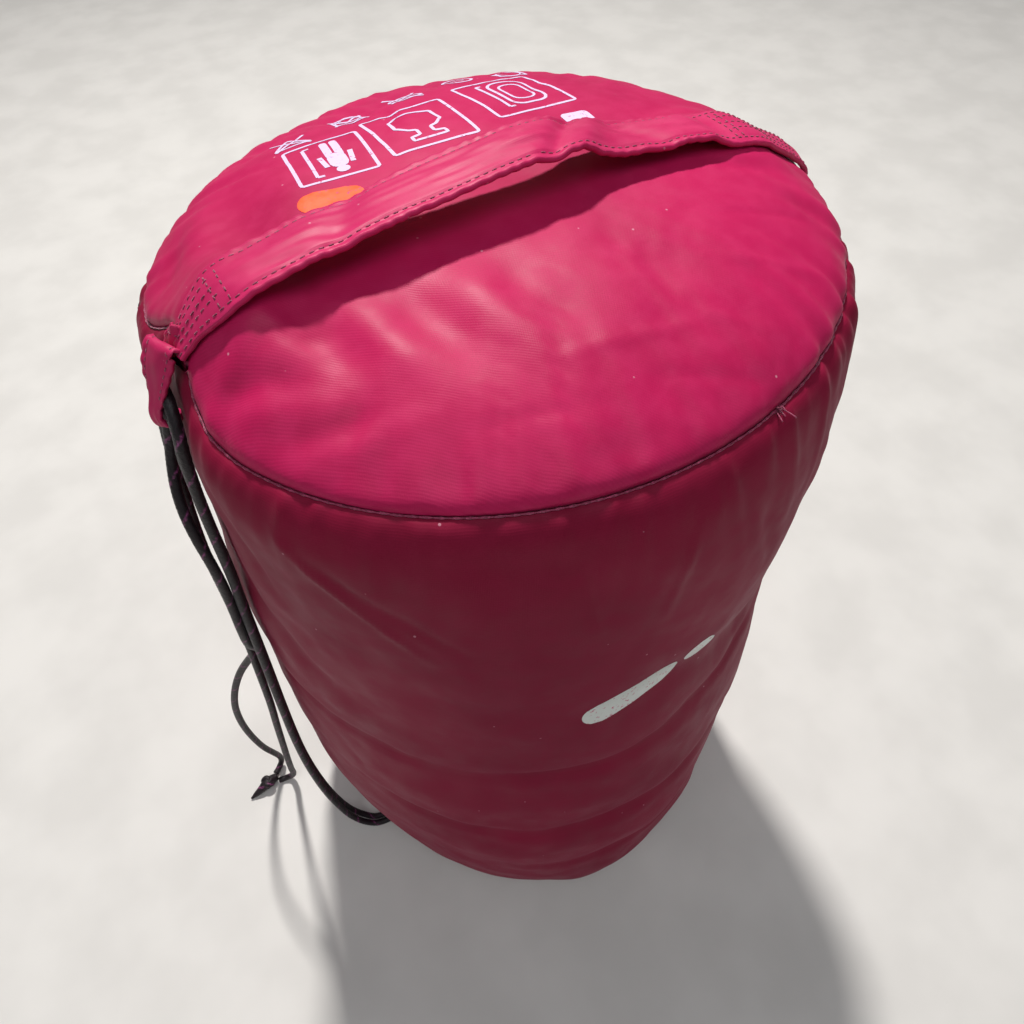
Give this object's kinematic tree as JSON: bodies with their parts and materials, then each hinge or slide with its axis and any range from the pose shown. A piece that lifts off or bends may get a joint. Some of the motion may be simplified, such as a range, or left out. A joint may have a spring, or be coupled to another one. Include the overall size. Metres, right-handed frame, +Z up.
{
  "type": "drawcord stuff sack",
  "caption": "Stuffed drawcord sack standing on its gathered mouth, with a sewn round end panel, a carry strap across it and a cord tab.",
  "frame": {"origin": "middle of the sack's footprint box, on the floor it stands on", "axes": "+Z up; the carry strap runs along X and the cord tab is at the -X end"},
  "size_m": [0.2704, 0.223, 0.3565],
  "materials": {
    "shell_fabric": "raspberry nylon taffeta, satin sheen",
    "strap_fabric": "same taffeta folded flat, satin sheen",
    "thread": "dark matching thread, matt",
    "cord": "black braided mini-cord with a purple tracer",
    "packed_fill": "packed sleeping bag, never seen"
  },
  "bodies": {
    "root": {"packed_contents": "packed_fill", "side_wall": "shell_fabric", "end_panel": "shell_fabric", "end_seam_allowance": "thread", "wall_seam_strip": "shell_fabric", "mouth_gather": "shell_fabric", "hem_channel": "shell_fabric", "drawcord_in_hem": "cord", "strap_root_left": "strap_fabric", "strap_root_right": "strap_fabric", "strap_flex_left": "strap_fabric", "strap_flex_right": "strap_fabric", "box_stitch_left": "thread", "box_stitch_right": "thread", "cord_tab_anchor": "strap_fabric", "cord_tab_loop": "strap_fabric", "cord_a_rise": "cord", "cord_a_drop": "cord", "cord_b_rise": "cord", "cord_b_drop": "cord", "cord_knot": "cord"},
    "carry_handle": {"strap_span_left": "strap_fabric", "strap_span_middle": "strap_fabric", "strap_span_right": "strap_fabric"}
  },
  "joints": [
    {"name": "handle_swing", "type": "hinge", "parent": "root", "child": "carry_handle", "pos_m": [0, -0.01133, 0.3448], "axis": [1, 0, 0], "range_deg": [-25, 25]}
  ]
}
